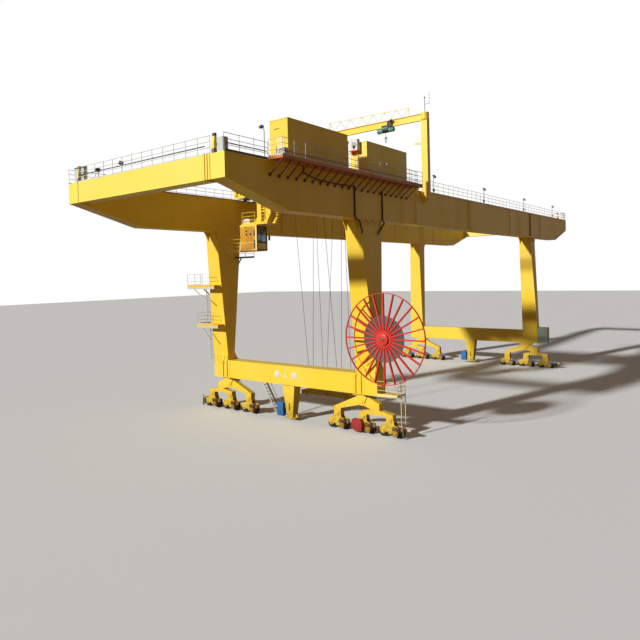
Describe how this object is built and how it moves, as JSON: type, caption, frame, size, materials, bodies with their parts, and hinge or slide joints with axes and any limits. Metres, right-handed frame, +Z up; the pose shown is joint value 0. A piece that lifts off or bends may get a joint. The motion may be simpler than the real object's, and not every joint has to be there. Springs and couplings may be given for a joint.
{
  "type": "double girder gantry crane scale model",
  "caption": "Rail-mounted double girder gantry crane with a travelling trolley and cabin, a container spreader on ropes, a cable reel and a service jib.",
  "frame": {"origin": "midway between the two travel rails, at the middle of the wheelbase, level with the rail heads", "axes": "+X along the girders from the cabin end to the far end, +Y along the travel rails, +Z up"},
  "size_m": [36.248, 13.4599, 14.9823],
  "materials": {
    "frame_yellow": "worn gloss paint",
    "wheel_steel": "rolled bright at the tread",
    "railing_grey": "satin",
    "reel_red": "faded",
    "cable_black": "matt",
    "glass": "dark tinted",
    "rope_steel": "greased",
    "machinery_grey": "satin",
    "cabinet_blue": "satin",
    "casing_white": "satin",
    "buffer_peach": "matt",
    "duct_brown": "matt",
    "hoist_green": "satin"
  },
  "bodies": {
    "portal": {"girder_left": "frame_yellow", "girder_right": "frame_yellow", "end_ties": "frame_yellow", "leg_near_left": "frame_yellow", "leg_near_right": "frame_yellow", "leg_far_left": "frame_yellow", "leg_far_right": "frame_yellow", "sill_near": "frame_yellow", "sill_far": "frame_yellow", "anchor_post_near": "frame_yellow", "anchor_post_far": "frame_yellow", "equalizers_near": "frame_yellow", "equalizers_far": "frame_yellow", "bogies_near": "frame_yellow", "bogies_far": "frame_yellow", "travel_wheels_near": "wheel_steel", "travel_wheels_far": "wheel_steel", "travel_drives_near": "machinery_grey", "travel_drives_far": "machinery_grey", "side_platform": "frame_yellow", "house_large": "frame_yellow", "house_small": "frame_yellow", "trolley_rails": "wheel_steel", "railing_left": "railing_grey", "railing_right": "railing_grey", "railing_platform": "railing_grey", "railing_ends": "railing_grey", "reel_bracket": "frame_yellow", "reel_landing": "railing_grey", "leg_landings": "railing_grey", "jib_column": "frame_yellow", "signal_mast": "machinery_grey", "rail_clamps": "reel_red", "travel_buffers": "buffer_peach", "control_cabinets": "cabinet_blue", "sill_ladder": "railing_grey", "air_conditioners": "casing_white", "floodlights": "machinery_grey", "cable_ducts": "duct_brown", "end_cabinets": "machinery_grey"},
    "trolley": {"trolley_frame": "frame_yellow", "trolley_deck": "frame_yellow", "trolley_wheels": "wheel_steel", "hoist_winch": "machinery_grey", "upper_sheaves": "machinery_grey", "cabin": "frame_yellow", "cabin_glass": "glass", "cabin_hanger": "frame_yellow", "cabin_access": "railing_grey", "hoist_ropes": "rope_steel", "trolley_railing": "railing_grey"},
    "load": {"lower_sheaves": "machinery_grey", "headblock": "frame_yellow", "spreader": "frame_yellow"},
    "reel": {"cable_reel": "reel_red", "wound_cable": "cable_black"},
    "jib": {"jib_beam": "frame_yellow"},
    "jib_trolley": {"jib_hoist": "hoist_green"}
  },
  "joints": [
    {"name": "trolley_travel", "type": "slide", "parent": "portal", "child": "trolley", "axis": [1, 0, 0], "range_m": [-6, 22.5]},
    {"name": "hoist", "type": "slide", "parent": "trolley", "child": "load", "axis": [0, 0, 1], "range_m": [-0.5, 7.2], "deforming": ["hoist_ropes"]},
    {"name": "reel_spin", "type": "hinge", "parent": "portal", "child": "reel", "pos_m": [-10.85, -5.51, 4.03], "axis": [1, 0, 0], "continuous": true},
    {"name": "jib_slew", "type": "hinge", "parent": "portal", "child": "jib", "pos_m": [-5.325, -4.6025, 13.9], "axis": [0, 0, 1], "range_deg": [-90, 180]},
    {"name": "jib_hoist_travel", "type": "slide", "parent": "jib", "child": "jib_trolley", "axis": [0, 1, 0], "range_m": [-1.45, 3.1]}
  ]
}
